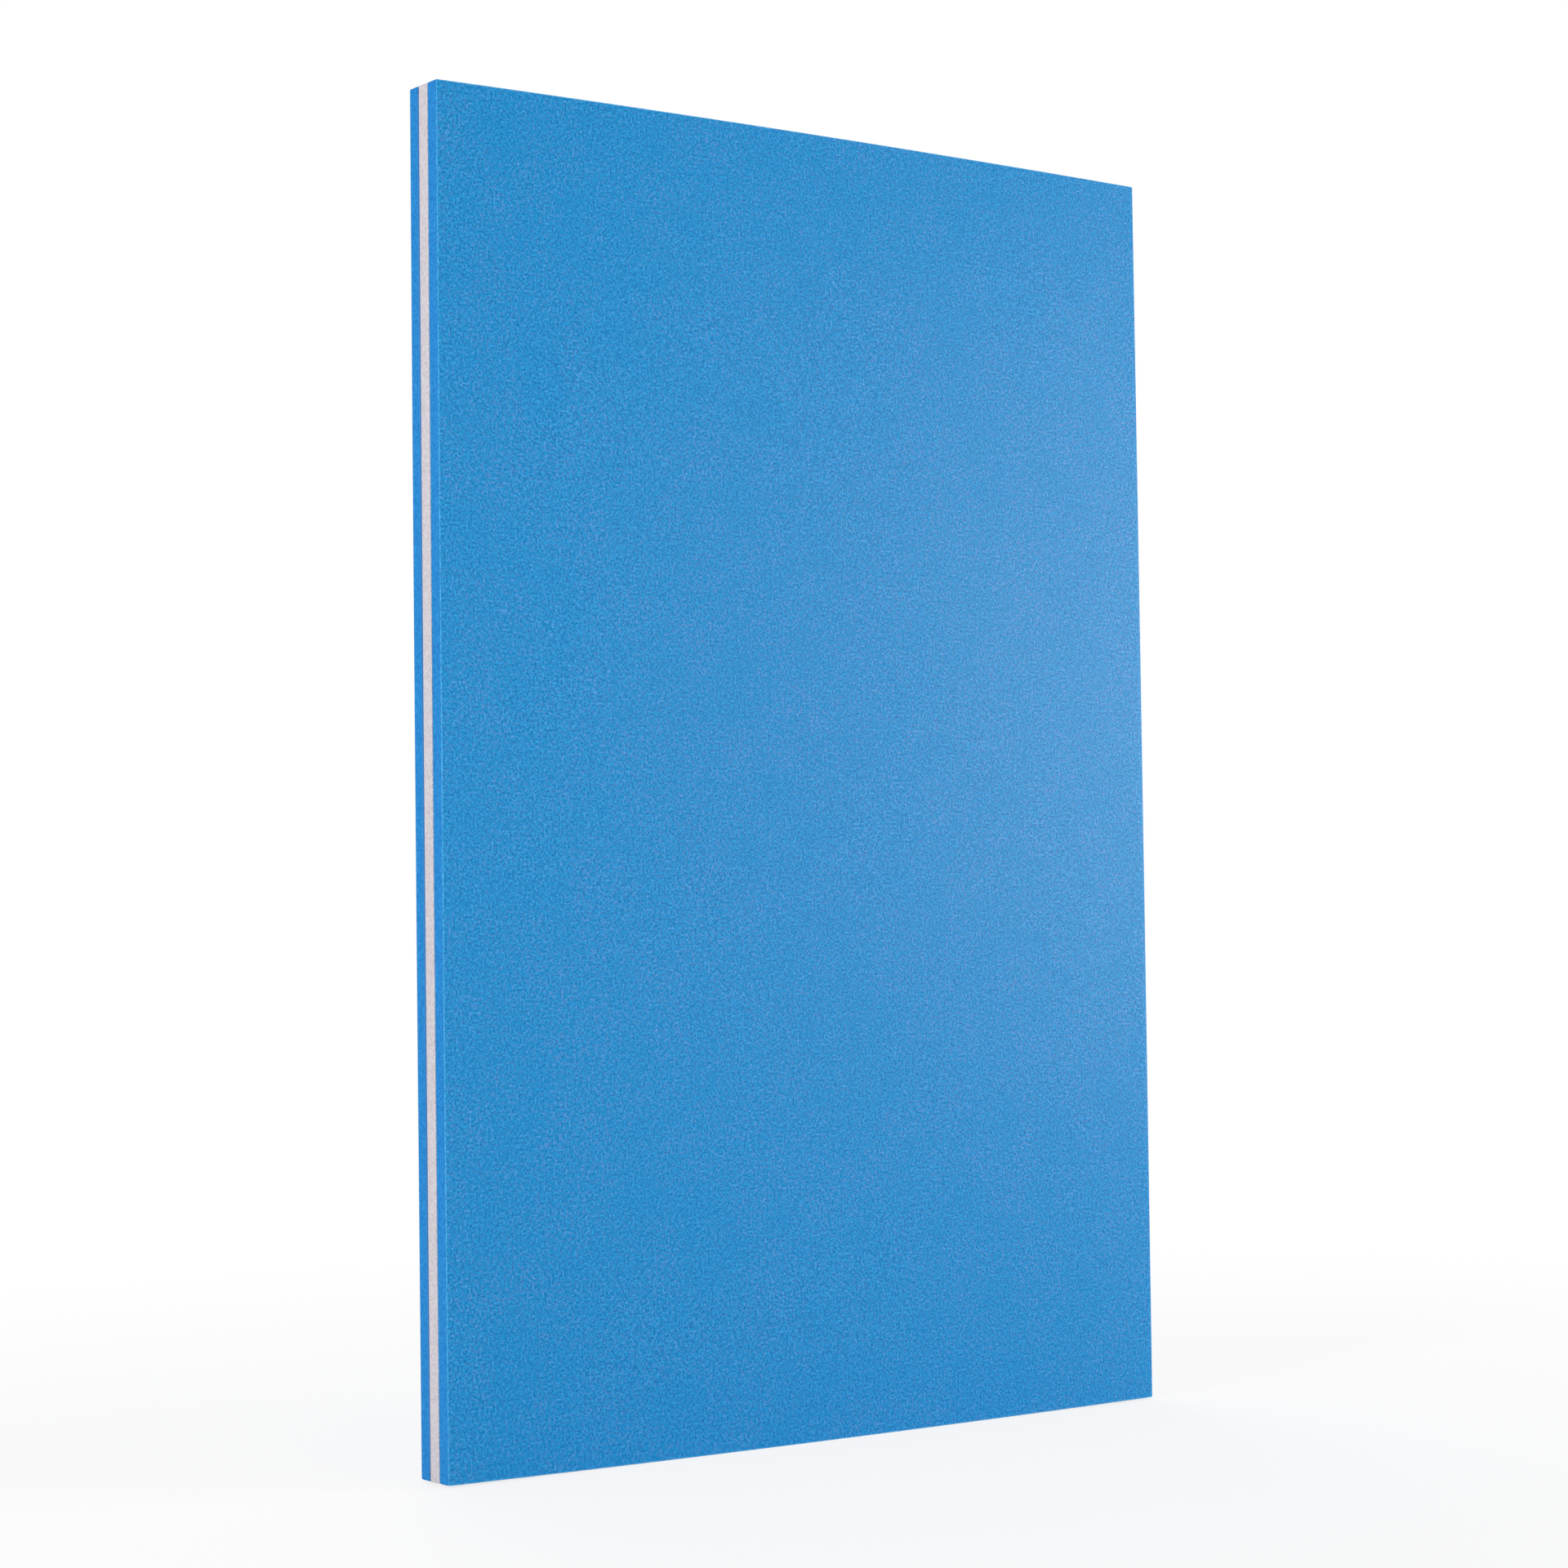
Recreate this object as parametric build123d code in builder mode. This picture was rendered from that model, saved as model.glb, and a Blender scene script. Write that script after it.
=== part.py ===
from build123d import *
import os

# Folding gym mat of three foam sections, folded up in a zigzag and standing on its short edge.
# X runs across a section from fold to fold, Y through the folded stack, Z up along the folds.
# The origin is at the middle of the standing edge. The front section faces -Y. All sizes in mm.

# ---- driving dimensions ----
section_length = 666.0     # X, one section from fold to fold
mat_width = 1000.0         # Z, height of the folded mat as it stands
core_thickness = 10.8      # foam sheet of one section
skin_thickness = 0.6       # embossed film on each face of a core
corner_radius = 4.0        # corners of the die-cut outline
edge_roundover = 0.5       # rim of each skin, rolled over by the cutting die
tape_thickness = 0.3       # woven hinge tape
tape_leaf_width = 22.0     # tape bonded to each section, from its side edge inward
tape_end_inset = 6.0       # tape stops this far from the mat's top and bottom edges
crease_inner_radius = 0.1  # hollow of the tape's hairpin crease
side_clearance = 0.5       # fold axis to the side edges, half the joint when opened flat

# ---- derived sizes ----
crease_outer_radius = crease_inner_radius + tape_thickness
section_gap = 2 * crease_outer_radius      # the hairpin fills the space between two sections
section_thickness = core_thickness + 2 * skin_thickness
folded_depth = 3 * section_thickness + 2 * section_gap
section_pitch = section_thickness + section_gap
fold_axis_x = section_length / 2 + side_clearance
tape_height = mat_width - 2 * tape_end_inset
front_face_y = -folded_depth / 2


def section_front_y(index):
    """Y of a section's front face, counted from the front section as 0."""
    return front_face_y + index * section_pitch


def die_cut_outline():
    """Rounded outline of one section, upright on the floor, on the sketch in hand."""
    with Locations((0, mat_width / 2)):
        RectangleRounded(section_length, mat_width, corner_radius)


def build_core(label, index):
    """Foam sheet of one section, with square sawn sides."""
    rear_y = section_front_y(index) + skin_thickness + core_thickness
    with BuildPart() as core:
        with BuildSketch(Plane.XZ.offset(-rear_y)):
            die_cut_outline()
        extrude(amount=core_thickness)
    core.part.label = label
    export_step(core.part, f"parts/{label}.step")


def build_skin(label, index, facing):
    """Film laminated to one face of a section; facing is -1 on its front and 1 on its rear."""
    front_y = section_front_y(index)
    if facing > 0:
        front_y += skin_thickness + core_thickness
    with BuildPart() as skin:
        with BuildSketch(Plane.XZ.offset(-front_y - skin_thickness)):
            die_cut_outline()
        extrude(amount=skin_thickness)
        outer_face = skin.faces().sort_by(Axis.Y)[0 if facing < 0 else -1]
        fillet(outer_face.edges(), radius=min(edge_roundover, 0.9 * skin_thickness))
    skin.part.label = label
    export_step(skin.part, f"parts/{label}.step")


def build_hinge_tape(label, side, front_section):
    """Tape folded once round the fold axis, a leaf on each neighbour; side is -1 left, 1 right."""
    axis_x = side * fold_axis_x
    axis_y = section_front_y(front_section + 1) - section_gap / 2
    leaf_end_x = side * (section_length / 2 - tape_leaf_width)
    half_turn = -180 * side
    with BuildPart() as tape:
        with BuildSketch(Plane.XY.offset(tape_end_inset)):
            with BuildLine():
                rear_leaf = Line((leaf_end_x, axis_y + crease_outer_radius),
                                 (axis_x, axis_y + crease_outer_radius))
                CenterArc((axis_x, axis_y), crease_outer_radius, 90, half_turn)
                front_leaf = Line((axis_x, axis_y - crease_outer_radius),
                                  (leaf_end_x, axis_y - crease_outer_radius))
                front_inside = Line((leaf_end_x, axis_y - crease_inner_radius),
                                    (axis_x, axis_y - crease_inner_radius))
                CenterArc((axis_x, axis_y), crease_inner_radius, 90, half_turn)
                rear_inside = Line((axis_x, axis_y + crease_inner_radius),
                                   (leaf_end_x, axis_y + crease_inner_radius))
                Line(front_leaf @ 1, front_inside @ 0)
                Line(rear_inside @ 1, rear_leaf @ 0)
            make_face()
        extrude(amount=tape_height)
    tape.part.label = label
    export_step(tape.part, f"parts/{label}.step")


os.makedirs("parts", exist_ok=True)

# ---- one core and two skins for each section, front to back ----
skin_names = {"front": ("outer", "inner"), "middle": ("front", "rear"), "back": ("inner", "outer")}
for index, (section, (front_skin, rear_skin)) in enumerate(skin_names.items()):
    build_core(f"{section}_core", index)
    build_skin(f"{section}_{front_skin}_skin", index, -1)
    build_skin(f"{section}_{rear_skin}_skin", index, 1)

# ---- a hinge tape at each fold: right between front and middle, left between middle and back ----
build_hinge_tape("right_hinge_tape", 1, 0)
build_hinge_tape("left_hinge_tape", -1, 1)

opened_length = 3 * section_length + 4 * side_clearance
print(f"folded {section_length:.1f} x {folded_depth:.1f} x {mat_width:.1f}, "
      f"opened {opened_length:.1f} long")
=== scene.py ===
# Folding gym mat: three foam sections folded in a zigzag, standing on the short edge.
import math

import bpy
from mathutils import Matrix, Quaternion, Vector, noise
from mathutils.geometry import delaunay_2d_cdt


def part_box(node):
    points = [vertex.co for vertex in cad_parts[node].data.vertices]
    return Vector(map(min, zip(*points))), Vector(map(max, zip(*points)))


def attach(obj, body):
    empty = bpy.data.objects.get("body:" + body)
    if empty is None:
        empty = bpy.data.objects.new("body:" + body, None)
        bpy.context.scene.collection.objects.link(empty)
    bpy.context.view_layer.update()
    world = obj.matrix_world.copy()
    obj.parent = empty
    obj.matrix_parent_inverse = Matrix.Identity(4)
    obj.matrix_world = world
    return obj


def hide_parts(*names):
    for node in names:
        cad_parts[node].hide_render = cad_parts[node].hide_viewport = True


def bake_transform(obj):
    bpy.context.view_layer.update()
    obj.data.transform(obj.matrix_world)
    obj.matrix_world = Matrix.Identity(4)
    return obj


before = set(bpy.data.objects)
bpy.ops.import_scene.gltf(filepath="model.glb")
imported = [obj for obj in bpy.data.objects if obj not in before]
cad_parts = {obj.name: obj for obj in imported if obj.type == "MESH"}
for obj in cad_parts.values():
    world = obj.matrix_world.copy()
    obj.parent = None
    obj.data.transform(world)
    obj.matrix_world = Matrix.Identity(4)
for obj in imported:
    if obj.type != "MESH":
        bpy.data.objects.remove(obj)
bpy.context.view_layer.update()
mm = 0.001

# overall form, shared by every layer of the mat
mat = {
    "cornerRadius": 1.4 * mm,  # die-cut corners are almost square
    "topRise": 2.4 * mm,       # the cut edges swell a little in the middle of their length
    "bottomRise": 1.8 * mm,
    "sideRise": 0.5 * mm,
    "ripple": 0.22 * mm,       # slow unevenness of soft foam
    "rippleLength": 150 * mm,
    "evenBorder": 26 * mm,     # flat along the rim, where the hinge tapes are bonded
    "rippleFade": 60 * mm,     # inside the border the ripple comes in over this width
}
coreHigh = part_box("middle_core")[1]
halfLength = coreHigh.x
matHeight = coreHigh.z


def linearColour(hexColour):
    # sRGB hex to the linear values that shader sockets take
    channels = [int(hexColour[i:i + 2], 16) / 255 for i in (1, 3, 5)]
    return [c / 12.92 if c <= 0.04045 else ((c + 0.055) / 1.055) ** 2.4 for c in channels] + [1.0]


def addNode(tree, kind, inputs=None, **settings):
    # inputs: socket name or index -> a value, or another node's output socket
    node = tree.nodes.new(kind)
    for name, value in settings.items():
        setattr(node, name, value)
    for name, value in (inputs or {}).items():
        if isinstance(value, bpy.types.NodeSocket):
            tree.links.new(value, node.inputs[name])
        else:
            node.inputs[name].default_value = value
    return node


def newMaterial(name):
    material = bpy.data.materials.new(name)
    material.use_nodes = True
    tree = material.node_tree
    tree.nodes.clear()
    output = addNode(tree, "ShaderNodeOutputMaterial")
    shader = addNode(tree, "ShaderNodeBsdfPrincipled")
    tree.links.new(shader.outputs[0], output.inputs["Surface"])
    return material, tree, shader


evaIor = 1.48  # of both the film and the foam

# Embossed EVA film: smooth calendered plastic pressed with a fine diagonal linen pattern. Its colour follows
# the real relief: painted shade darkens the pits, painted highlight lightens the ridges, and the gloss is
# broad and milky rather than sharp.
film = {
    "pitch": 1.2 * mm,         # between neighbouring diagonal ridges, not drawn coarser
    "weave": 0.28,             # how much of the relief is the linen pattern
    "grain": 1.7 * mm,         # irregular press grain over the pattern, the part that shows from afar
    "grainShare": 2.5,
    "grainDetail": 2.0,
    "grainRoughness": 0.6,
    "level": 0.5,              # relief where neither the pattern nor the grain lifts or sinks it
    "bodyTone": 0.44,          # relief at which the plain body colour shows
    "relief": 0.10 * mm,
    "bumpStrength": 0.6,
    "roughness": 0.29,
    "polish": 0.3,             # the ridges are smoother than the pits by this much
    "specular": 0.12,          # soft EVA reflects less than hard plastic
    "mottle": 2.4 * mm,        # cloudy tint on the ridges
    "mottleFrom": 0.45,        # the noise values between which a cloud builds up
    "mottleTo": 0.7,
    "drift": 35 * mm,          # slow unevenness of that tint over the sheet
    "driftFrom": 0.3,          # the noise values that give the weakest and the strongest tint
    "driftTo": 0.7,
    "driftLow": 0.4,
    "driftHigh": 1.6,
    "highlightBeadShare": 0.7,          # how much of the painted highlight on the rolled rim follows the relief
    "highlightBeadFloor": 0.3,
}


def linenHeight(tree):
    place = addNode(tree, "ShaderNodeTexCoord").outputs["Object"]
    axes = addNode(tree, "ShaderNodeSeparateXYZ", {0: place})
    turns = 2 * math.pi / (film["pitch"] * math.sqrt(2))
    waves = []
    for operation in ("ADD", "SUBTRACT"):
        along = addNode(tree, "ShaderNodeMath", {0: axes.outputs["X"], 1: axes.outputs["Z"]},
                        operation=operation)
        angle = addNode(tree, "ShaderNodeMath", {0: along.outputs[0], 1: turns}, operation="MULTIPLY")
        waves.append(addNode(tree, "ShaderNodeMath", {0: angle.outputs[0]}, operation="COSINE").outputs[0])
    ridges = addNode(tree, "ShaderNodeMath", {0: waves[0], 1: waves[1]}, operation="ADD")
    weave = addNode(tree, "ShaderNodeMath", {0: ridges.outputs[0], 1: film["weave"], 2: film["level"]},
                    operation="MULTIPLY_ADD")
    grain = addNode(tree, "ShaderNodeTexNoise", {"Vector": place, "Scale": 1 / film["grain"],
                                                 "Detail": film["grainDetail"],
                                                 "Roughness": film["grainRoughness"]})
    uneven = addNode(tree, "ShaderNodeMath", {0: grain.outputs["Fac"], 1: film["grainShare"],
                                              2: -film["grainShare"] / 2}, operation="MULTIPLY_ADD")
    return addNode(tree, "ShaderNodeMath", {0: weave.outputs[0], 1: uneven.outputs[0]}, operation="ADD",
                   use_clamp=True).outputs[0]


def embossedFilm(name, pitShadeColour, bodyColour, ridgeHighlightColour, cloudColour, rimHighlightColour):
    material, tree, shader = newMaterial(name)
    relief = linenHeight(tree)
    # painted shade and highlight: the colour follows the relief, darker in the pits and lighter on the ridges
    reliefShading = addNode(tree, "ShaderNodeValToRGB", {0: relief})
    reliefShading.color_ramp.elements[0].color = linearColour(pitShadeColour)
    reliefShading.color_ramp.elements[1].color = linearColour(ridgeHighlightColour)
    reliefShading.color_ramp.elements.new(film["bodyTone"]).color = linearColour(bodyColour)
    place = addNode(tree, "ShaderNodeTexCoord")
    clouds = addNode(tree, "ShaderNodeTexNoise", {"Vector": place.outputs["Object"],
                                                  "Scale": 1 / film["mottle"], "Detail": 1.0})
    cloudRange = addNode(tree, "ShaderNodeMapRange", {"Value": clouds.outputs["Fac"],
                                                      "From Min": film["mottleFrom"],
                                                      "From Max": film["mottleTo"]})
    drift = addNode(tree, "ShaderNodeTexNoise", {"Vector": place.outputs["Object"],
                                                 "Scale": 1 / film["drift"], "Detail": 2.0})
    driftRange = addNode(tree, "ShaderNodeMapRange", {"Value": drift.outputs["Fac"],
                                                      "From Min": film["driftFrom"],
                                                      "From Max": film["driftTo"],
                                                      "To Min": film["driftLow"],
                                                      "To Max": film["driftHigh"]})
    onRidges = addNode(tree, "ShaderNodeMath", {0: cloudRange.outputs[0], 1: relief},
                       operation="MULTIPLY")
    patches = addNode(tree, "ShaderNodeMath", {0: onRidges.outputs[0], 1: driftRange.outputs[0]},
                      operation="MULTIPLY")
    cloudy = addNode(tree, "ShaderNodeMix", {0: patches.outputs[0], 6: reliefShading.outputs[0],
                                             7: linearColour(cloudColour)},
                     data_type="RGBA", blend_type="ADD")
    # painted highlight: a lighter colour along the rolled rim of the outer films, dotted by the relief
    rimHighlight = addNode(tree, "ShaderNodeAttribute", attribute_name="rimHighlight")
    highlightBeads = addNode(tree, "ShaderNodeMath", {0: relief, 1: film["highlightBeadShare"], 2: film["highlightBeadFloor"]},
                    operation="MULTIPLY_ADD")
    edge = addNode(tree, "ShaderNodeMath", {0: rimHighlight.outputs["Fac"], 1: highlightBeads.outputs[0]},
                   operation="MULTIPLY")
    highlighted = addNode(tree, "ShaderNodeMix", {0: edge.outputs[0], 6: cloudy.outputs[2],
                                            7: linearColour(rimHighlightColour)}, data_type="RGBA")
    tree.links.new(highlighted.outputs[2], shader.inputs["Base Color"])
    gloss = addNode(tree, "ShaderNodeMath", {0: relief, 1: -film["polish"],
                                             2: film["roughness"] + film["polish"] / 2},
                    operation="MULTIPLY_ADD")
    tree.links.new(gloss.outputs[0], shader.inputs["Roughness"])
    bump = addNode(tree, "ShaderNodeBump", {"Strength": film["bumpStrength"], "Distance": film["relief"],
                                            "Height": relief})
    tree.links.new(bump.outputs[0], shader.inputs["Normal"])
    shader.inputs["IOR"].default_value = evaIor
    shader.inputs["Specular IOR Level"].default_value = film["specular"]
    return material


# Cut EVA foam: a sawn edge of closed cells. Each cut cell is a tiny cup, so the edge is matt and
# slightly brighter than the film, with a fine irregular grain; the cups are tinted darker than the walls, a
# painted shade.
foam = {
    "cell": 1.0 * mm,          # drawn coarser than real EVA cells, so that they show
    "cellShare": 0.45,
    "saw": 2.0 * mm,           # unevenness left by the saw
    "sawDetail": 3.0,
    "cupLevel": 0.45,          # painted shade: the tint goes from the darker cups to the lighter walls between these two, mixed with the saw grain
    "wallLevel": 1.0,
    "bumpStrength": 0.5,
    "bumpDepth": 0.3 * mm,
    "roughness": 0.82,
    "specular": 0.18,
}


def cutFoam(name, cupShadeColour, wallColour):
    material, tree, shader = newMaterial(name)
    place = addNode(tree, "ShaderNodeTexCoord")
    cells = addNode(tree, "ShaderNodeTexVoronoi", {"Vector": place.outputs["Object"],
                                                   "Scale": 1 / foam["cell"], "Randomness": 1.0})
    grain = addNode(tree, "ShaderNodeTexNoise", {"Vector": place.outputs["Object"],
                                                 "Scale": 1 / foam["saw"], "Detail": foam["sawDetail"]})
    mixed = addNode(tree, "ShaderNodeMath", {0: cells.outputs["Distance"], 1: foam["cellShare"],
                                             2: grain.outputs["Fac"]}, operation="MULTIPLY_ADD")
    level = addNode(tree, "ShaderNodeMapRange", {"Value": mixed.outputs[0], "From Min": foam["cupLevel"],
                                                 "From Max": foam["wallLevel"]})
    # painted shade in the cell hollows, with the real saw grain mixed in
    tint = addNode(tree, "ShaderNodeMix", {0: level.outputs[0], 6: linearColour(cupShadeColour),
                                           7: linearColour(wallColour)}, data_type="RGBA")
    tree.links.new(tint.outputs[2], shader.inputs["Base Color"])
    bump = addNode(tree, "ShaderNodeBump", {"Strength": foam["bumpStrength"],
                                            "Distance": foam["bumpDepth"], "Height": mixed.outputs[0]})
    tree.links.new(bump.outputs[0], shader.inputs["Normal"])
    shader.inputs["Roughness"].default_value = foam["roughness"]
    shader.inputs["IOR"].default_value = evaIor
    shader.inputs["Specular IOR Level"].default_value = foam["specular"]
    return material


# Woven polyester tape: a plain weave of flat yarns, so it shows a small even check and a dry sheen.
tape = {
    "yarn": 0.9 * mm,
    "thickness": 0.3 * mm,
    "rowStep": 4 * mm,
    "leafSteps": 6,
    "turnSteps": 8,            # round the hairpin
    "rest": 0.02 * mm,         # between a leaf and the film under it
    "checkSpread": 0.5,        # the check goes from warp to weft colour over this, each way
    "bumpStrength": 0.7,
    "bumpDepth": 0.2 * mm,
    "roughness": 0.7,
    "sheen": 0.2,
}


def wovenTape(name, warpColour, weftColour):
    material, tree, shader = newMaterial(name)
    place = addNode(tree, "ShaderNodeUVMap", uv_map="weave")
    axes = addNode(tree, "ShaderNodeSeparateXYZ", {0: place.outputs[0]})
    waves = []
    for axis in ("X", "Y"):
        angle = addNode(tree, "ShaderNodeMath", {0: axes.outputs[axis], 1: math.pi / tape["yarn"]},
                        operation="MULTIPLY")
        waves.append(addNode(tree, "ShaderNodeMath", {0: angle.outputs[0]}, operation="SINE").outputs[0])
    check = addNode(tree, "ShaderNodeMath", {0: waves[0], 1: waves[1]}, operation="MULTIPLY")
    level = addNode(tree, "ShaderNodeMapRange", {"Value": check.outputs[0],
                                                 "From Min": -tape["checkSpread"],
                                                 "From Max": tape["checkSpread"]})
    tint = addNode(tree, "ShaderNodeMix", {0: level.outputs[0], 6: linearColour(warpColour),
                                           7: linearColour(weftColour)}, data_type="RGBA")
    tree.links.new(tint.outputs[2], shader.inputs["Base Color"])
    crowns = addNode(tree, "ShaderNodeMath", {0: check.outputs[0]}, operation="ABSOLUTE")
    bump = addNode(tree, "ShaderNodeBump", {"Strength": tape["bumpStrength"],
                                            "Distance": tape["bumpDepth"], "Height": crowns.outputs[0]})
    tree.links.new(bump.outputs[0], shader.inputs["Normal"])
    shader.inputs["Roughness"].default_value = tape["roughness"]
    shader.inputs["Sheen Weight"].default_value = tape["sheen"]
    return material


materials = {
    # film colours: painted pit shade, body, painted ridge highlight, cloud tint, painted rim highlight
    "blueFilm": embossedFilm("blueEmbossedFilm", "#005f9c", "#007cbc", "#36a8e0", "#4a0400", "#58baf2"),
    "whiteFilm": embossedFilm("whiteEmbossedFilm", "#b7b4bd", "#cbc7cf", "#ecebf0", "#140c0e", "#f2f1f4"),
    # foam colours: painted cup shade, then the wall colour
    "blueFoam": cutFoam("blueCutFoam", "#0e70c0", "#329be0"),
    "whiteFoam": cutFoam("whiteCutFoam", "#c2babf", "#e0dce2"),
    "blueTape": wovenTape("blueWovenTape", "#1778c4", "#2b93da"),
}
print("materials made")


# how the large faces are filled with triangles
fill = {
    "leastArcSteps": 4,        # round each corner
    "ringGrowth": 1.6,         # spacing of the rings inside the rim, in steps along the rim
    "ringDepth": 3.2 * mm,     # they stop at this depth,
    "ringSkip": 16,            # or when they use only one rim point in this many
    "fine": 6 * mm,            # one row of points this far in, and this far apart
    "coarse": 18 * mm,         # the grid inside that row
    "tolerance": 1e-7,
    "rimFade": 4 * mm,         # relief of the rim dies out over this width
}
insideOutline = 1              # the triangulator's output type: only triangles inside the outline


def outlineLoop(step):
    # points and outward directions round the die-cut outline, anticlockwise seen from the front
    radius = mat["cornerRadius"]
    straightX = 2 * (halfLength - radius)
    straightZ = matHeight - 2 * radius
    arcSteps = max(fill["leastArcSteps"], math.ceil(math.pi / 2 * radius / step))
    corners = [(halfLength - radius, radius, -90), (halfLength - radius, matHeight - radius, 0),
               (radius - halfLength, matHeight - radius, 90), (radius - halfLength, radius, 180)]
    loop = []
    for number, (cx, cz, startAngle) in enumerate(corners):
        for i in range(arcSteps + 1):
            angle = math.radians(startAngle + 90 * i / arcSteps)
            out = (math.cos(angle), math.sin(angle))
            loop.append(((cx + radius * out[0], cz + radius * out[1]), out))
        run = straightZ if number % 2 == 0 else straightX
        pieces = math.ceil(run / step)
        (x, z), out = loop[-1]
        along = (-out[1], out[0])
        for i in range(1, pieces):
            shift = run * i / pieces
            loop.append(((x + along[0] * shift, z + along[1] * shift), out))
    return loop


capCache = {}


def capTriangles(step, inset):
    # an even fill for a large face: fine at the rim, coarse in the middle
    if (step, inset) in capCache:
        return capCache[step, inset]
    loop = outlineLoop(step)
    points = [Vector((x - ox * inset, z - oz * inset)) for (x, z), (ox, oz) in loop]
    rimCount = len(points)
    depth = inset + fill["ringGrowth"] * step
    skip = 2
    while depth < fill["ringDepth"] and skip < fill["ringSkip"]:
        points += [Vector((x - ox * depth, z - oz * depth)) for (x, z), (ox, oz) in loop[::skip]]
        depth += fill["ringGrowth"] * step * skip
        skip *= 2
    coarse = fill["coarse"]
    columns = round(2 * (halfLength - coarse) / coarse)
    rows = round((matHeight - 2 * coarse) / coarse)
    fine = fill["fine"]
    fineColumns = round(2 * (halfLength - fine) / fine)
    fineRows = round((matHeight - 2 * fine) / fine)
    for i in range(fineColumns + 1):
        x = -halfLength + fine + 2 * (halfLength - fine) * i / fineColumns
        points += [Vector((x, fine)), Vector((x, matHeight - fine))]
    for i in range(1, fineRows):
        z = fine + (matHeight - 2 * fine) * i / fineRows
        points += [Vector((-halfLength + fine, z)), Vector((halfLength - fine, z))]
    for i in range(columns + 1):
        for j in range(rows + 1):
            points.append(Vector((-halfLength + coarse + 2 * (halfLength - coarse) * i / columns,
                                  coarse + (matHeight - 2 * coarse) * j / rows)))
    made = delaunay_2d_cdt(points, [], [list(range(rimCount))], insideOutline, fill["tolerance"])
    sources = [ids[0] for ids in made[3]]
    where = [points[s] for s in sources]
    capCache[step, inset] = (where, sources, made[2], rimCount)
    return capCache[step, inset]


def shapedPoint(x, y, z, phase):
    # natural form: swollen edges, and a slow ripple that dies out at the rim
    u, w = x / halfLength, 2 * z / matHeight - 1
    fromRim = min(halfLength - abs(x), z, matHeight - z)
    fade = max(0.0, min(1.0, (fromRim - mat["evenBorder"]) / mat["rippleFade"]))
    fade = fade * fade * (3 - 2 * fade)
    place = Vector((x, z, 0)) / mat["rippleLength"] + Vector((0, 0, phase))
    ripple = mat["ripple"] * noise.noise(place) * fade
    rise = mat["topRise"] * z / matHeight - mat["bottomRise"] * (1 - z / matHeight)
    return (x - mat["sideRise"] * w * w * u,
            y + ripple,
            z - rise * u * u)


def layerMesh(name, profile, step, phase, rimHighlight):
    # profile: (inset, y) from the front face's rim to the rear face's rim
    loop = outlineLoop(step)
    count = len(loop)
    spots, rimWeight, rimHighlightWeight, faces = [], [], [], []
    for row, (inset, y) in enumerate(profile):
        for (x, z), (ox, oz) in loop:
            spots.append((x - ox * inset, y, z - oz * inset))
            rimWeight.append(1.0)
            # weight of the painted rim highlight, strongest half way round the rounded rim
            rimHighlightWeight.append(rimHighlight * math.sin(math.pi * row / (len(profile) - 1)))
    for row in range(len(profile) - 1):
        for i in range(count):
            a, b = row * count + i, row * count + (i + 1) % count
            faces.append((a, a + count, b + count, b))
    for row, (inset, y), frontSide in ((0, profile[0], True), (len(profile) - 1, profile[-1], False)):
        where, sources, triangles, rimCount = capTriangles(step, inset)
        ids = []
        for (x, z), source in zip(where, sources):
            if source < rimCount:
                ids.append(row * count + source)
                continue
            ids.append(len(spots))
            spots.append((x, y, z))
            edge = min(halfLength - abs(x), z, matHeight - z)
            rimWeight.append(max(0.0, 1 - (edge - inset) / fill["rimFade"]))
            rimHighlightWeight.append(0.0)
        for triangle in triangles:
            corners = [ids[i] for i in triangle]
            faces.append(tuple(corners if frontSide else reversed(corners)))
    mesh = bpy.data.meshes.new(name)
    mesh.from_pydata([shapedPoint(x, y, z, phase) for x, y, z in spots], [], faces)
    for label, values in (("rim", rimWeight), ("rimHighlight", rimHighlightWeight)):
        mesh.attributes.new(label, "FLOAT", "POINT").data.foreach_set("value", values)
    mesh.update()
    return mesh


def newGeometryTree(name, sizes):
    tree = bpy.data.node_groups.new(name, "GeometryNodeTree")
    tree.interface.new_socket("Geometry", in_out="INPUT", socket_type="NodeSocketGeometry")
    for label, value in sizes.items():
        socket = tree.interface.new_socket(label, in_out="INPUT", socket_type="NodeSocketFloat")
        socket.default_value = value
    tree.interface.new_socket("Material", in_out="INPUT", socket_type="NodeSocketMaterial")
    tree.interface.new_socket("Geometry", in_out="OUTPUT", socket_type="NodeSocketGeometry")
    return tree, addNode(tree, "NodeGroupInput")


def finishGeometryTree(tree, source, height):
    # moves the rim along its normals by height, and ends with plain geometry and its material
    weight = addNode(tree, "GeometryNodeInputNamedAttribute", {"Name": "rim"}, data_type="FLOAT")
    normal = addNode(tree, "GeometryNodeInputNormal")
    amount = addNode(tree, "ShaderNodeMath", {0: height, 1: weight.outputs["Attribute"]},
                     operation="MULTIPLY")
    offset = addNode(tree, "ShaderNodeVectorMath", {0: normal.outputs[0], "Scale": amount.outputs[0]},
                     operation="SCALE")
    moved = addNode(tree, "GeometryNodeSetPosition", {"Geometry": source.outputs["Geometry"],
                                                      "Offset": offset.outputs[0]})
    real = addNode(tree, "GeometryNodeRealizeInstances", {0: moved.outputs[0]})
    painted = addNode(tree, "GeometryNodeSetMaterial", {"Geometry": real.outputs[0],
                                                        "Material": source.outputs["Material"]})
    addNode(tree, "NodeGroupOutput", {0: painted.outputs[0]})
    return tree


# foam sheet of a section: its cut edge is a fine mesh, so that the cells are real hollows in it
core = {
    "step": 1.2 * mm,
    "rows": 9,
    "footSteps": 2,            # on the foam's share of the rounded rim
    "cellDepth": 0.15 * mm,
    "cellSize": 1.3 * mm,      # drawn coarser than real EVA cells, so that the mesh holds them
    "sawLength": 7 * mm,       # slow waves left by the saw
    "sawDetail": 2.0,
}


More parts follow.
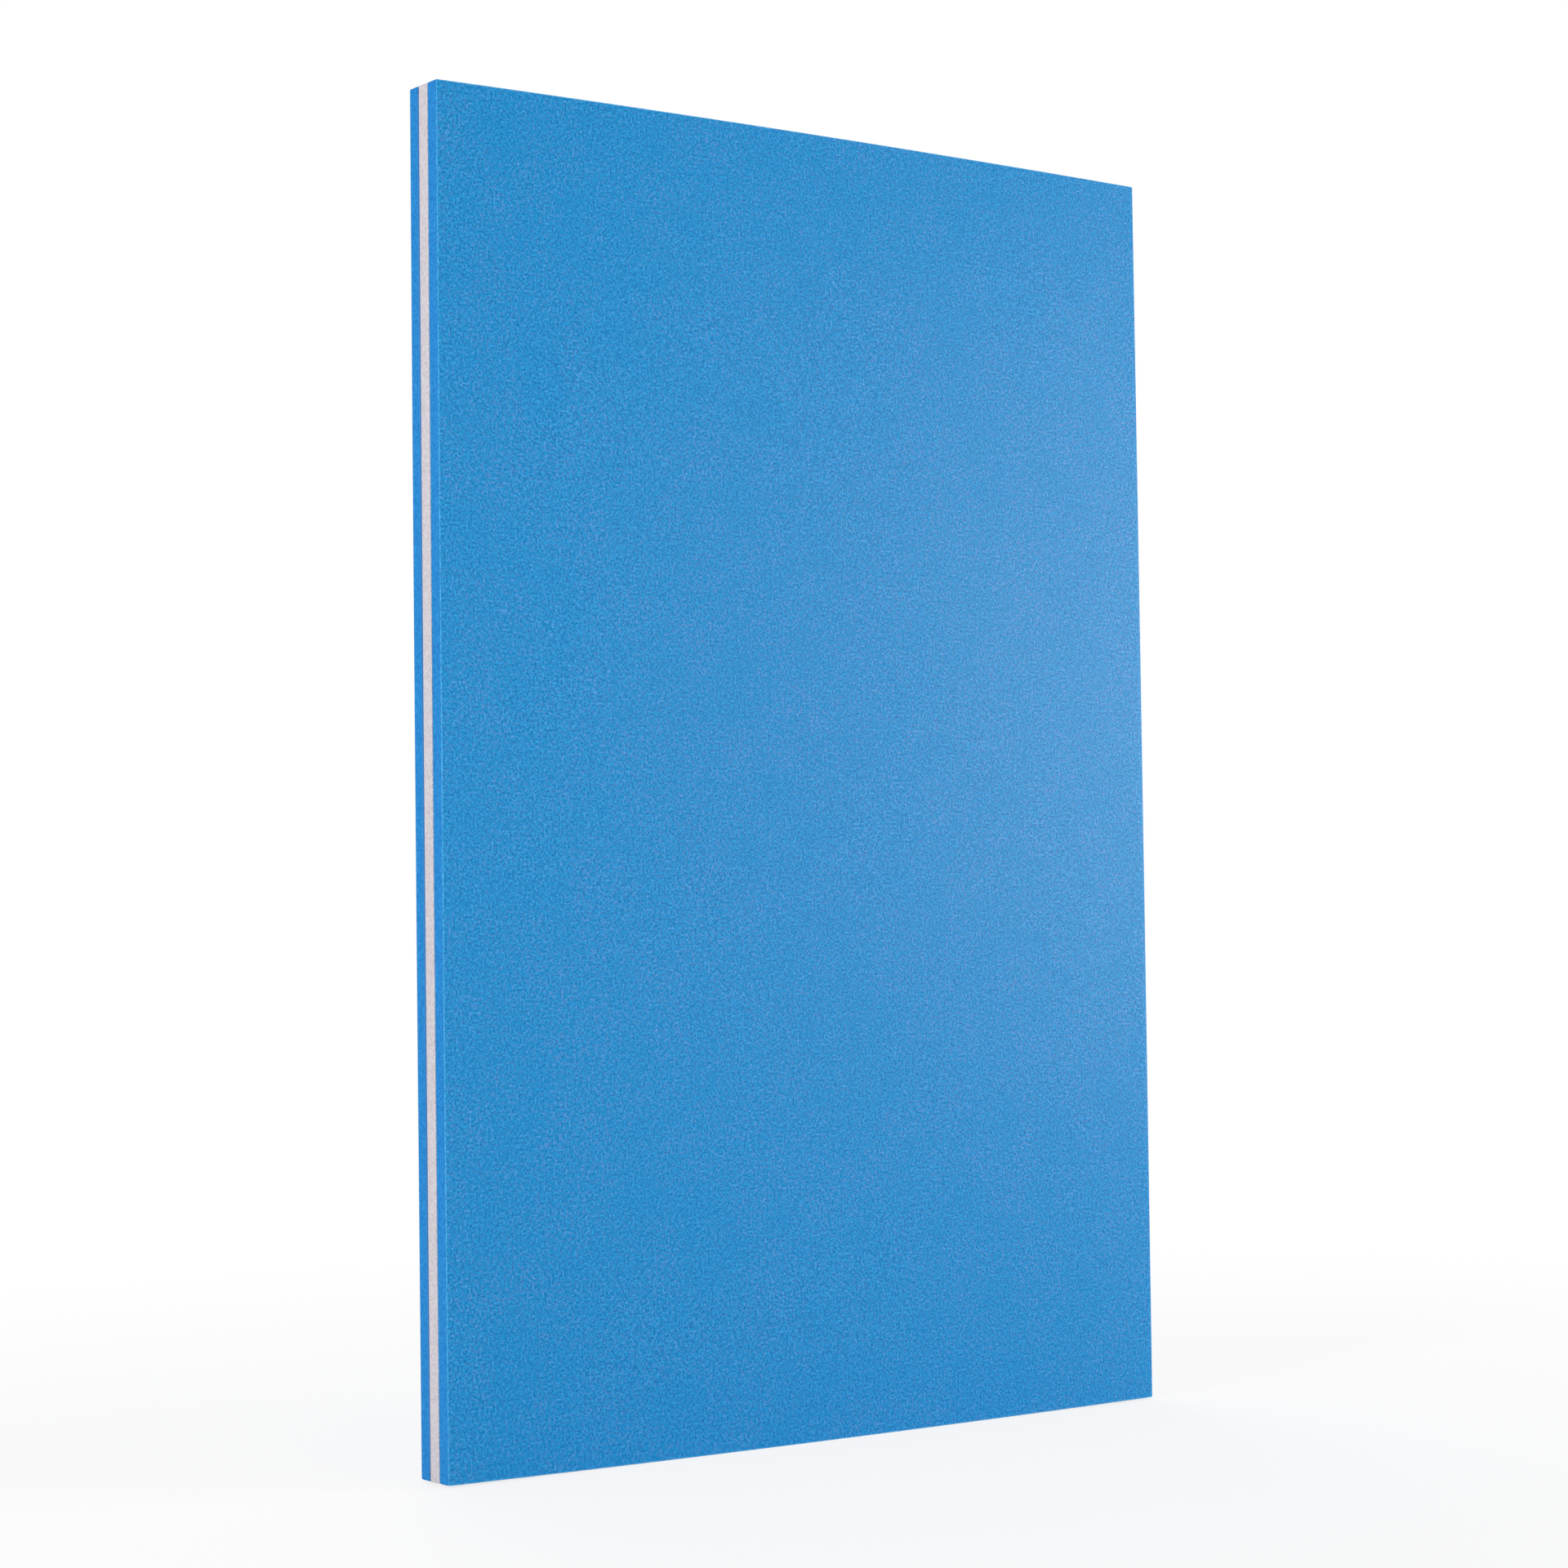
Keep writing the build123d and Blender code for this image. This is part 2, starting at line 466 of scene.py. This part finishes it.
def foamCellTree():
    tree, source = newGeometryTree("foamCells", {"Cell Size": core["cellSize"], "Depth": core["cellDepth"],
                                                 "Seed": 0.0})
    position = addNode(tree, "GeometryNodeInputPosition")
    scale = addNode(tree, "ShaderNodeMath", {0: 1.0, 1: source.outputs["Cell Size"]}, operation="DIVIDE")
    seedPlace = addNode(tree, "ShaderNodeVectorMath", {0: position.outputs[0], 1: source.outputs["Seed"]},
                        operation="ADD")
    cells = addNode(tree, "ShaderNodeTexVoronoi", {"Vector": seedPlace.outputs[0],
                                                   "Scale": scale.outputs[0]})
    saw = addNode(tree, "ShaderNodeTexNoise", {"Vector": seedPlace.outputs[0],
                                               "Scale": 1 / core["sawLength"],
                                               "Detail": core["sawDetail"]})
    cup = addNode(tree, "ShaderNodeMath", {0: cells.outputs["Distance"], 1: 1.0}, operation="SUBTRACT")
    sawn = addNode(tree, "ShaderNodeMath", {0: saw.outputs[0], 1: cup.outputs[0]}, operation="ADD")
    height = addNode(tree, "ShaderNodeMath", {0: sawn.outputs[0], 1: source.outputs["Depth"]},
                     operation="MULTIPLY")
    return finishGeometryTree(tree, source, height.outputs[0])


# rim of a film, rolled over the foam by the cutting die
rim = {
    "outerRadius": 1.1 * mm,
    "innerRadius": 0.8 * mm,
    "arcSteps": 5,
    "outerStep": 0.6 * mm,
    "innerStep": 2.4 * mm,
    "beadPitch": 3.0 * mm,     # drawn coarser than the film's own pattern, so that the mesh holds it
    "relief": 0.10 * mm,
}


def rolledEmbossTree():
    tree, source = newGeometryTree("rolledEmboss", {"Pitch": rim["beadPitch"], "Relief": rim["relief"]})
    position = addNode(tree, "GeometryNodeInputPosition")
    axes = addNode(tree, "ShaderNodeSeparateXYZ", {0: position.outputs[0]})
    turns = addNode(tree, "ShaderNodeMath", {0: 2 * math.pi / math.sqrt(2), 1: source.outputs["Pitch"]},
                    operation="DIVIDE")
    waves = []
    for operation in ("ADD", "SUBTRACT"):
        along = addNode(tree, "ShaderNodeMath", {0: axes.outputs["X"], 1: axes.outputs["Z"]},
                        operation=operation)
        angle = addNode(tree, "ShaderNodeMath", {0: along.outputs[0], 1: turns.outputs[0]},
                        operation="MULTIPLY")
        waves.append(addNode(tree, "ShaderNodeMath", {0: angle.outputs[0]}, operation="COSINE").outputs[0])
    dots = addNode(tree, "ShaderNodeMath", {0: waves[0], 1: waves[1]}, operation="MULTIPLY")
    height = addNode(tree, "ShaderNodeMath", {0: dots.outputs[0], 1: source.outputs["Relief"]},
                     operation="MULTIPLY")
    return finishGeometryTree(tree, source, height.outputs[0])


def throughTree(name, mesh, tree, sizes, material):
    # runs the mesh through a node tree and keeps the plain result
    raw = bpy.data.objects.new(name + "Raw", mesh)
    bpy.context.scene.collection.objects.link(raw)
    modifier = raw.modifiers.new("nodes", "NODES")
    modifier.node_group = tree
    for item in tree.interface.items_tree:
        if item.in_out == "INPUT" and item.name in sizes:
            modifier[item.identifier] = sizes[item.name]
        if item.in_out == "INPUT" and item.name == "Material":
            modifier[item.identifier] = material
    bpy.context.view_layer.update()
    evaluated = raw.evaluated_get(bpy.context.evaluated_depsgraph_get())
    plain = bpy.data.meshes.new_from_object(evaluated)
    bpy.data.objects.remove(raw)
    plain.name = name
    plain.shade_smooth()
    piece = bpy.data.objects.new(name, plain)
    bpy.context.scene.collection.objects.link(piece)
    return piece


cellTree = foamCellTree()
embossTree = rolledEmbossTree()



def rimArc(radius, fromHeight, toHeight, steps):
    # (inset, height) along a quarter-round edge of that radius, heights counted from its foot
    first = math.asin(min(1.0, fromHeight / radius))
    last = math.asin(min(1.0, toHeight / radius))
    angles = [first + (last - first) * i / steps for i in range(steps + 1)]
    return [(radius * (1 - math.cos(a)), radius * math.sin(a)) for a in angles]


def filmProfile(low, high, radius, facesFront):
    # the film is the outer part of the rounded edge; its foot is inside the foam's part
    thickness = high - low
    arc = rimArc(radius, radius - thickness, radius, rim["arcSteps"])
    if facesFront:
        return [(inset, high - (height - (radius - thickness))) for inset, height in reversed(arc)]
    return [(inset, low + (height - (radius - thickness))) for inset, height in arc]


def coreProfile(low, high, frontRadius, rearRadius, filmThickness):
    # the foam's edge from front to rear: the foot of each rounded rim, and the flat cut between
    rows = []
    for radius, face, sign in ((frontRadius, low, 1), (rearRadius, high, -1)):
        part = rimArc(radius, 0, radius - filmThickness, core["footSteps"])
        foot = radius - filmThickness
        rows.append([(inset, face + sign * (foot - height)) for inset, height in part])
    front = list(reversed(rows[0]))
    rear = rows[1]
    start = front[-1][1]
    end = rear[0][1]
    middle = [(0.0, start + (end - start) * i / core["rows"]) for i in range(1, core["rows"])]
    return front + middle + rear


# films are named from front to rear; phase gives each section its own ripple and cells
sections = {
    "front": {"body": "front_section", "foam": "blueFoam", "film": "blueFilm",
              "slots": ("blue_foam", "blue_film"), "films": ("outer", "inner"), "phase": 1.7},
    "middle": {"body": "middle_section", "foam": "whiteFoam", "film": "whiteFilm",
               "slots": ("white_foam", "white_film"), "films": ("front", "rear"), "phase": 5.2},
    "back": {"body": "back_section", "foam": "blueFoam", "film": "blueFilm",
             "slots": ("blue_foam", "blue_film"), "films": ("inner", "outer"), "phase": 9.4},
}

for name, section in sections.items():
    low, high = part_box(name + "_core")
    radii = [rim["outerRadius"] if side == "outer" else rim["innerRadius"] for side in section["films"]]
    skinLow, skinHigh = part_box(f"{name}_{section['films'][0]}_skin")
    filmThickness = skinHigh.y - skinLow.y
    profile = coreProfile(low.y, high.y, radii[0], radii[1], filmThickness)
    mesh = layerMesh(name + "_foam", profile, core["step"], section["phase"], 0.0)
    sizes = {"Cell Size": core["cellSize"], "Depth": core["cellDepth"], "Seed": section["phase"]}
    piece = throughTree(name + "_foam", mesh, cellTree, sizes, materials[section["foam"]])
    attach(piece, section["body"])
    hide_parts(name + "_core")
    print(piece.name, len(piece.data.polygons), "faces")
    for number, side in enumerate(section["films"]):
        node = f"{name}_{side}_skin"
        low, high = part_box(node)
        profile = filmProfile(low.y, high.y, radii[number], number == 0)
        step = rim["outerStep"] if side == "outer" else rim["innerStep"]
        # only the outer films get the painted rim highlight
        rimHighlight = 1.0 if side == "outer" else 0.0
        mesh = layerMesh(f"{name}_{side}_film", profile, step, section["phase"], rimHighlight)
        sizes = {"Pitch": rim["beadPitch"], "Relief": rim["relief"] if side == "outer" else 0.0}
        piece = throughTree(f"{name}_{side}_film", mesh, embossTree, sizes, materials[section["film"]])
        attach(piece, section["body"])
        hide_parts(node)
        print(piece.name, len(piece.data.polygons), "faces")


def hingeTape(name, node, side, rearPhase, frontPhase):
    # one strip of tape: a leaf on the rear neighbour, a tight turn outside the fold, a leaf in front
    low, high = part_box(node)
    middleY = (low.y + high.y) / 2
    reach = (high.y - low.y) / 2 - tape["thickness"] / 2 - tape["rest"]
    tip = high.x if side > 0 else low.x
    axisX = tip - side * (high.y - low.y) / 2
    leafEnd = low.x if side > 0 else high.x
    leafSteps = tape["leafSteps"]
    turnSteps = tape["turnSteps"]
    path = [(leafEnd + (axisX - leafEnd) * i / leafSteps, reach, rearPhase) for i in range(leafSteps)]
    for i in range(turnSteps + 1):
        angle = math.pi * i / turnSteps
        path.append((axisX + side * reach * math.sin(angle), reach * math.cos(angle), None))
    path += [(axisX + (leafEnd - axisX) * i / leafSteps, -reach, frontPhase) for i in range(1, leafSteps + 1)]
    rows = round((high.z - low.z) / tape["rowStep"])
    spots, uvs, faces, travel = [], [], [], [0.0]
    for a, b in zip(path, path[1:]):
        travel.append(travel[-1] + math.dist(a[:2], b[:2]))
    for row in range(rows + 1):
        z = low.z + (high.z - low.z) * row / rows
        for (x, y, phase), along in zip(path, travel):
            held = max(-halfLength, min(halfLength, x))
            px, py, pz = shapedPoint(held, middleY + y, z, phase or rearPhase)
            spots.append((px + x - held, py, pz))
            uvs.append((along, z))
    columns = len(path)
    for row in range(rows):
        for i in range(columns - 1):
            a = row * columns + i
            quad = (a, a + 1, a + 1 + columns, a + columns)
            faces.append(quad if side < 0 else tuple(reversed(quad)))
    mesh = bpy.data.meshes.new(name)
    mesh.from_pydata(spots, [], faces)
    layer = mesh.uv_layers.new(name="weave")
    for loop in mesh.loops:
        layer.data[loop.index].uv = uvs[loop.vertex_index]
    mesh.shade_smooth()
    mesh.materials.append(materials["blueTape"])
    piece = bpy.data.objects.new(name, mesh)
    bpy.context.scene.collection.objects.link(piece)
    solid = piece.modifiers.new("thickness", "SOLIDIFY")
    solid.thickness = tape["thickness"]
    solid.offset = 0.0
    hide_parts(node)
    gap = Vector((0, reach, 0))
    centre = Vector((axisX, middleY, 0))
    return piece, centre + gap, centre - gap


phases = {name: section["phase"] for name, section in sections.items()}
leftTape, start, end = hingeTape("left_tape", "left_hinge_tape", -1, phases["back"], phases["middle"])
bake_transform(leftTape)
rightTape, start, end = hingeTape("right_tape", "right_hinge_tape", 1, phases["middle"], phases["front"])
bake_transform(rightTape)
print("tapes made")

studio = {
    "ambient": 0.35,
    "backdrop": 1.0,
    "floorColour": "#f4f4f4",
    "floorRoughness": 0.9,
    "floorReach": 15.0,
    "shadowShare": 0.2,        # how much of the floor's own shading shows near the mat
    "shadowFade": (0.6, 1.6),  # beyond this the floor is as white as the backdrop
    "lights": {  # place, size x and y, watts, aimed at
        "sheenBox": ((2.95, -2.15, 0.82), (1.5, 1.4), 72, (0.2, 0, 0.5)),
        "frontFill": ((-0.6, -3.4, 0.5), (2.6, 0.9), 19, (0, 0, 0.3)),
        "leftFill": ((-3.1, -0.9, 1.2), (0.8, 2.2), 47, (0, 0, 0.5)),
        "topFill": ((0.2, 0.3, 3.4), (2.4, 2.0), 15, (0, 0, 0.6)),
        "backFill": ((1.0, 3.6, 1.8), (2.6, 2.2), 60, (0, 0, 0.5)),
    },
}


def seenDirectly(tree):
    # 1 for what the camera sees, and for what gloss or clear parts show of it
    rays = addNode(tree, "ShaderNodeLightPath")
    seen = addNode(tree, "ShaderNodeMath", {0: rays.outputs["Is Camera Ray"],
                                            1: rays.outputs["Is Glossy Ray"]}, operation="MAXIMUM")
    return addNode(tree, "ShaderNodeMath", {0: seen.outputs[0], 1: rays.outputs["Is Transmission Ray"]},
                   operation="MAXIMUM").outputs[0]


world = bpy.data.worlds.new("studioWorld")
bpy.context.scene.world = world
world.use_nodes = True
tree = world.node_tree
tree.nodes.clear()
dim = addNode(tree, "ShaderNodeBackground", {"Color": (1, 1, 1, 1), "Strength": studio["ambient"]})
white = addNode(tree, "ShaderNodeBackground", {"Color": (1, 1, 1, 1), "Strength": studio["backdrop"]})
both = addNode(tree, "ShaderNodeMixShader", {0: seenDirectly(tree), 1: dim.outputs[0], 2: white.outputs[0]})
addNode(tree, "ShaderNodeOutputWorld", {0: both.outputs[0]})

floorMaterial, tree, shader = newMaterial("paintedFloor")
shader.inputs["Base Color"].default_value = linearColour(studio["floorColour"])
shader.inputs["Roughness"].default_value = studio["floorRoughness"]
glow = addNode(tree, "ShaderNodeEmission", {"Color": (1, 1, 1, 1), "Strength": studio["backdrop"]})
place = addNode(tree, "ShaderNodeTexCoord")
distance = addNode(tree, "ShaderNodeVectorMath", {0: place.outputs["Object"]}, operation="LENGTH")
fade = addNode(tree, "ShaderNodeMapRange", {"Value": distance.outputs["Value"],
                                            "From Min": studio["shadowFade"][0],
                                            "From Max": studio["shadowFade"][1],
                                            "To Min": 1 - studio["shadowShare"],
                                            "To Max": 1.0}, interpolation_type="SMOOTHSTEP")
share = addNode(tree, "ShaderNodeMath", {0: seenDirectly(tree), 1: fade.outputs[0]}, operation="MULTIPLY")
floorMix = addNode(tree, "ShaderNodeMixShader", {0: share.outputs[0], 1: shader.outputs[0],
                                                 2: glow.outputs[0]})
output = next(n for n in tree.nodes if n.type == "OUTPUT_MATERIAL")
tree.links.new(floorMix.outputs[0], output.inputs["Surface"])
reach = studio["floorReach"]
floorMesh = bpy.data.meshes.new("floor")
floorCorners = [(-reach, -reach, 0), (reach, -reach, 0), (reach, reach, 0), (-reach, reach, 0)]
floorMesh.from_pydata(floorCorners, [], [(0, 1, 2, 3)])
floorMesh.materials.append(floorMaterial)
floor = bpy.data.objects.new("floor", floorMesh)
bpy.context.scene.collection.objects.link(floor)

for name, (place, (sizeX, sizeY), watts, aim) in studio["lights"].items():
    lamp = bpy.data.lights.new(name, "AREA")
    lamp.shape = "RECTANGLE"
    lamp.size, lamp.size_y = sizeX, sizeY
    lamp.energy = watts
    light = bpy.data.objects.new(name, lamp)
    light.location = place
    light.rotation_mode = "QUATERNION"
    light.rotation_quaternion = (Vector(aim) - Vector(place)).to_track_quat("-Z", "Y")
    bpy.context.scene.collection.objects.link(light)

camera = {
    "place": (-1.554, -2.0956, 0.3998),
    "azimuth": -36.217,
    "elevation": -2.193,
    "roll": -0.726,
    "lens": 77.95,
    "sensor": 36,
    "clipStart": 0.05,
}
azimuth = math.radians(camera["azimuth"])
elevation = math.radians(camera["elevation"])
backward = Vector((math.sin(azimuth) * math.cos(elevation), -math.cos(azimuth) * math.cos(elevation),
                   math.sin(elevation)))
lens = bpy.data.cameras.new("camera")
lens.lens = camera["lens"]
lens.sensor_width = camera["sensor"]
lens.clip_start = camera["clipStart"]
eye = bpy.data.objects.new("camera", lens)
eye.location = camera["place"]
eye.rotation_mode = "QUATERNION"
roll = Quaternion((0, 0, 1), math.radians(camera["roll"]))
eye.rotation_quaternion = (-backward).to_track_quat("-Z", "Y") @ roll
bpy.context.scene.collection.objects.link(eye)
bpy.context.scene.camera = eye
bpy.context.scene.view_settings.view_transform = "Standard"
print("studio made")
